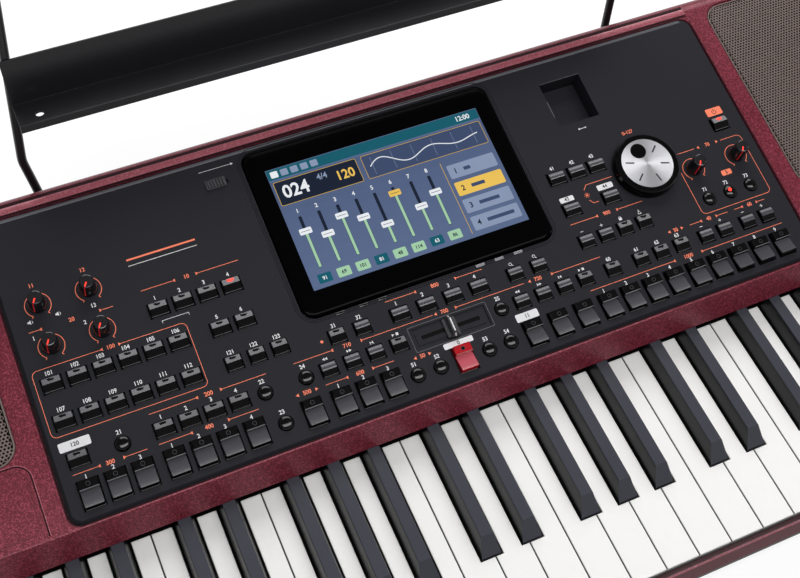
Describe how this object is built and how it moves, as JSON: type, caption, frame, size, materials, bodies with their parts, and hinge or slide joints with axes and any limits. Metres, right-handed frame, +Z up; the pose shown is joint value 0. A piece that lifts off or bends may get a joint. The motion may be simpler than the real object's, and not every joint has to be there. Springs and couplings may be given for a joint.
{
  "type": "arranger keyboard",
  "caption": "Arranger keyboard with piano-style keys, a sloping panel of buttons, knobs and a dial, a tilting touch display, built-in speakers, a joystick and a lift-off music stand.",
  "frame": {"origin": "on the table plane under the middle of the whole instrument, music stand included", "axes": "+X along the keys to the treble end, +Y from the player to the rear, +Z up"},
  "size_m": [1.03, 0.4444, 0.3285],
  "materials": {
    "burgundy_paint": "satin metallic",
    "panel_black": "satin",
    "case_black": "matt",
    "grille_metal": "matt",
    "speaker_black": "matt",
    "frame_steel": "satin",
    "rod_steel": "polished",
    "circuit_green": "satin",
    "supply_metal": "satin",
    "socket_black": "gloss",
    "rubber": "matt",
    "screw_steel": "satin",
    "key_white": "gloss",
    "key_black": "satin",
    "cap_black": "gloss",
    "cap_grey": "semi-gloss",
    "cap_red": "semi-gloss",
    "knob_smoke": "smoked",
    "dial_metal": "brushed",
    "bezel_gloss": "gloss",
    "screen_glass": "gloss",
    "stand_black": "satin",
    "spring_steel": "satin"
  },
  "bodies": {
    "case": {"bottom_case": "case_black", "key_slip": "burgundy_paint", "left_end_cover": "burgundy_paint", "right_end_cover": "burgundy_paint", "center_cover": "burgundy_paint", "control_panel": "panel_black", "rear_panel": "case_black", "speaker_grilles": "grille_metal", "speakers": "speaker_black", "key_frame": "frame_steel", "key_pivot_rod": "rod_steel", "contact_strip": "circuit_green", "key_springs": "spring_steel", "panel_board": "circuit_green", "main_board": "circuit_green", "power_supply": "supply_metal", "signal_sockets": "socket_black", "mains_inlet": "socket_black", "rubber_feet": "rubber", "case_screws": "screw_steel"},
    "c_keys": {"c_keys": "key_white"},
    "d_keys": {"d_keys": "key_white"},
    "e_keys": {"e_keys": "key_white"},
    "f_keys": {"f_keys": "key_white"},
    "g_keys": {"g_keys": "key_white"},
    "a_keys": {"a_keys": "key_white"},
    "b_keys": {"b_keys": "key_white"},
    "c_sharp_keys": {"c_sharp_keys": "key_black"},
    "d_sharp_keys": {"d_sharp_keys": "key_black"},
    "f_sharp_keys": {"f_sharp_keys": "key_black"},
    "g_sharp_keys": {"g_sharp_keys": "key_black"},
    "a_sharp_keys": {"a_sharp_keys": "key_black"},
    "mode_buttons": {"mode_buttons": "cap_black"},
    "style_buttons": {"style_buttons": "cap_black"},
    "pad_buttons": {"pad_buttons": "cap_black"},
    "arranger_buttons": {"arranger_buttons": "cap_grey"},
    "start_stop_button": {"start_stop_button": "cap_red"},
    "library_buttons": {"library_buttons": "cap_grey"},
    "player_buttons": {"player_buttons": "cap_black"},
    "menu_buttons": {"menu_buttons": "cap_black"},
    "transpose_buttons": {"transpose_buttons": "cap_black"},
    "power_button": {"power_button": "cap_black"},
    "round_buttons": {"round_buttons": "cap_black"},
    "assignable_switches": {"assignable_switches": "cap_black"},
    "bass_volume_knob": {"bass_volume_knob": "knob_smoke"},
    "low_eq_knob": {"low_eq_knob": "knob_smoke"},
    "mid_eq_knob": {"mid_eq_knob": "knob_smoke"},
    "high_eq_knob": {"high_eq_knob": "knob_smoke"},
    "voice_level_knob": {"voice_level_knob": "knob_smoke"},
    "master_volume_knob": {"master_volume_knob": "knob_smoke"},
    "value_dial": {"value_dial": "dial_metal"},
    "balance_fader": {"balance_fader": "cap_black"},
    "display_lock": {"display_lock": "cap_black"},
    "display": {"display_bezel": "bezel_gloss", "touch_screen": "screen_glass", "display_shell": "case_black"},
    "joystick_gimbal": {"joystick_gimbal": "case_black"},
    "joystick": {"joystick": "cap_black"},
    "music_stand": {"stand_frame": "stand_black", "stand_tray": "stand_black"}
  },
  "joints": [
    {"name": "c_keys_press", "type": "hinge", "parent": "case", "child": "c_keys", "pos_m": [0.0375, -0.024, 0.0475], "axis": [1, 0, 0], "range_deg": [0, 2.9], "stiffness_Nm_per_rad": 1.5, "springref_deg": -25.78},
    {"name": "d_keys_press", "type": "hinge", "parent": "case", "child": "d_keys", "pos_m": [0.0375, -0.024, 0.0475], "axis": [1, 0, 0], "range_deg": [0, 2.9], "stiffness_Nm_per_rad": 1.5, "springref_deg": -25.78},
    {"name": "e_keys_press", "type": "hinge", "parent": "case", "child": "e_keys", "pos_m": [0.0375, -0.024, 0.0475], "axis": [1, 0, 0], "range_deg": [0, 2.9], "stiffness_Nm_per_rad": 1.5, "springref_deg": -25.78},
    {"name": "f_keys_press", "type": "hinge", "parent": "case", "child": "f_keys", "pos_m": [0.0375, -0.024, 0.0475], "axis": [1, 0, 0], "range_deg": [0, 2.9], "stiffness_Nm_per_rad": 1.5, "springref_deg": -25.78},
    {"name": "g_keys_press", "type": "hinge", "parent": "case", "child": "g_keys", "pos_m": [0.0375, -0.024, 0.0475], "axis": [1, 0, 0], "range_deg": [0, 2.9], "stiffness_Nm_per_rad": 1.5, "springref_deg": -25.78},
    {"name": "a_keys_press", "type": "hinge", "parent": "case", "child": "a_keys", "pos_m": [0.0375, -0.024, 0.0475], "axis": [1, 0, 0], "range_deg": [0, 2.9], "stiffness_Nm_per_rad": 1.5, "springref_deg": -25.78},
    {"name": "b_keys_press", "type": "hinge", "parent": "case", "child": "b_keys", "pos_m": [0.0375, -0.024, 0.0475], "axis": [1, 0, 0], "range_deg": [0, 2.9], "stiffness_Nm_per_rad": 1.5, "springref_deg": -25.78},
    {"name": "c_sharp_keys_press", "type": "hinge", "parent": "case", "child": "c_sharp_keys", "pos_m": [0.0375, -0.024, 0.0475], "axis": [1, 0, 0], "range_deg": [0, 2.9], "stiffness_Nm_per_rad": 1.5, "springref_deg": -25.78},
    {"name": "d_sharp_keys_press", "type": "hinge", "parent": "case", "child": "d_sharp_keys", "pos_m": [0.0375, -0.024, 0.0475], "axis": [1, 0, 0], "range_deg": [0, 2.9], "stiffness_Nm_per_rad": 1.5, "springref_deg": -25.78},
    {"name": "f_sharp_keys_press", "type": "hinge", "parent": "case", "child": "f_sharp_keys", "pos_m": [0.0375, -0.024, 0.0475], "axis": [1, 0, 0], "range_deg": [0, 2.9], "stiffness_Nm_per_rad": 1.5, "springref_deg": -25.78},
    {"name": "g_sharp_keys_press", "type": "hinge", "parent": "case", "child": "g_sharp_keys", "pos_m": [0.0375, -0.024, 0.0475], "axis": [1, 0, 0], "range_deg": [0, 2.9], "stiffness_Nm_per_rad": 1.5, "springref_deg": -25.78},
    {"name": "a_sharp_keys_press", "type": "hinge", "parent": "case", "child": "a_sharp_keys", "pos_m": [0.0375, -0.024, 0.0475], "axis": [1, 0, 0], "range_deg": [0, 2.9], "stiffness_Nm_per_rad": 1.5, "springref_deg": -25.78},
    {"name": "mode_buttons_press", "type": "slide", "parent": "case", "child": "mode_buttons", "axis": [0, 0.1874, -0.9823], "range_m": [0, 0.0012], "stiffness_N_per_m": 600, "springref_m": -0.0015},
    {"name": "style_buttons_press", "type": "slide", "parent": "case", "child": "style_buttons", "axis": [0, 0.1874, -0.9823], "range_m": [0, 0.0012], "stiffness_N_per_m": 600, "springref_m": -0.0015},
    {"name": "pad_buttons_press", "type": "slide", "parent": "case", "child": "pad_buttons", "axis": [0, 0.1874, -0.9823], "range_m": [0, 0.0012], "stiffness_N_per_m": 600, "springref_m": -0.0015},
    {"name": "arranger_buttons_press", "type": "slide", "parent": "case", "child": "arranger_buttons", "axis": [0, 0.1874, -0.9823], "range_m": [0, 0.0012], "stiffness_N_per_m": 600, "springref_m": -0.0015},
    {"name": "start_stop_button_press", "type": "slide", "parent": "case", "child": "start_stop_button", "axis": [0, 0.1874, -0.9823], "range_m": [0, 0.0012], "stiffness_N_per_m": 600, "springref_m": -0.0015},
    {"name": "library_buttons_press", "type": "slide", "parent": "case", "child": "library_buttons", "axis": [0, 0.1874, -0.9823], "range_m": [0, 0.0012], "stiffness_N_per_m": 600, "springref_m": -0.0015},
    {"name": "player_buttons_press", "type": "slide", "parent": "case", "child": "player_buttons", "axis": [0, 0.1874, -0.9823], "range_m": [0, 0.0012], "stiffness_N_per_m": 600, "springref_m": -0.0015},
    {"name": "menu_buttons_press", "type": "slide", "parent": "case", "child": "menu_buttons", "axis": [0, 0.1874, -0.9823], "range_m": [0, 0.0012], "stiffness_N_per_m": 600, "springref_m": -0.0015},
    {"name": "transpose_buttons_press", "type": "slide", "parent": "case", "child": "transpose_buttons", "axis": [0, 0.1874, -0.9823], "range_m": [0, 0.0012], "stiffness_N_per_m": 600, "springref_m": -0.0015},
    {"name": "power_button_press", "type": "slide", "parent": "case", "child": "power_button", "axis": [0, 0.1874, -0.9823], "range_m": [0, 0.0012], "stiffness_N_per_m": 600, "springref_m": -0.0015},
    {"name": "round_buttons_press", "type": "slide", "parent": "case", "child": "round_buttons", "axis": [0, 0.1874, -0.9823], "range_m": [0, 0.0012], "stiffness_N_per_m": 600, "springref_m": -0.0015},
    {"name": "assignable_switches_press", "type": "slide", "parent": "case", "child": "assignable_switches", "axis": [0, 0.1874, -0.9823], "range_m": [0, 0.0012], "stiffness_N_per_m": 600, "springref_m": -0.0015},
    {"name": "bass_volume_knob_turn", "type": "hinge", "parent": "case", "child": "bass_volume_knob", "pos_m": [-0.2402, 0.06672, 0.11453], "axis": [0, -0.1874, 0.9823], "range_deg": [-150, 150]},
    {"name": "low_eq_knob_turn", "type": "hinge", "parent": "case", "child": "low_eq_knob", "pos_m": [-0.2086, 0.06672, 0.11453], "axis": [0, -0.1874, 0.9823], "range_deg": [-150, 150]},
    {"name": "mid_eq_knob_turn", "type": "hinge", "parent": "case", "child": "mid_eq_knob", "pos_m": [-0.2402, 0.03902, 0.10924], "axis": [0, -0.1874, 0.9823], "range_deg": [-150, 150]},
    {"name": "high_eq_knob_turn", "type": "hinge", "parent": "case", "child": "high_eq_knob", "pos_m": [-0.2086, 0.03902, 0.10924], "axis": [0, -0.1874, 0.9823], "range_deg": [-150, 150]},
    {"name": "voice_level_knob_turn", "type": "hinge", "parent": "case", "child": "voice_level_knob", "pos_m": [0.2063, 0.01633, 0.10491], "axis": [0, -0.1874, 0.9823], "range_deg": [-150, 150]},
    {"name": "master_volume_knob_turn", "type": "hinge", "parent": "case", "child": "master_volume_knob", "pos_m": [0.2412, 0.01633, 0.10491], "axis": [0, -0.1874, 0.9823], "range_deg": [-150, 150]},
    {"name": "value_dial_turn", "type": "hinge", "parent": "case", "child": "value_dial", "pos_m": [0.172, 0.02812, 0.10716], "axis": [0, -0.1874, 0.9823], "continuous": true},
    {"name": "balance_fader_slide", "type": "slide", "parent": "case", "child": "balance_fader", "axis": [1, 0, 0], "range_m": [-0.018, 0.018]},
    {"name": "display_lock_slide", "type": "slide", "parent": "case", "child": "display_lock", "axis": [1, 0, 0], "range_m": [0, 0.005]},
    {"name": "display_tilt", "type": "hinge", "parent": "case", "child": "display", "pos_m": [0, 0.0078, 0.10003], "axis": [1, 0, 0], "range_deg": [0, 40]},
    {"name": "joystick_forward", "type": "hinge", "parent": "case", "child": "joystick_gimbal", "pos_m": [-0.45125, -0.14869, 0.05206], "axis": [1, 0, 0], "range_deg": [-18, 18], "stiffness_Nm_per_rad": 0.8},
    {"name": "joystick_sideways", "type": "hinge", "parent": "joystick_gimbal", "child": "joystick", "pos_m": [-0.45125, -0.14869, 0.05206], "axis": [0, 0.9823, 0.1874], "range_deg": [-18, 18], "stiffness_Nm_per_rad": 0.8},
    {"name": "music_stand_lift", "type": "slide", "parent": "case", "child": "music_stand", "axis": [0, 0.2419, 0.9703], "range_m": [0, 0.022]}
  ]
}
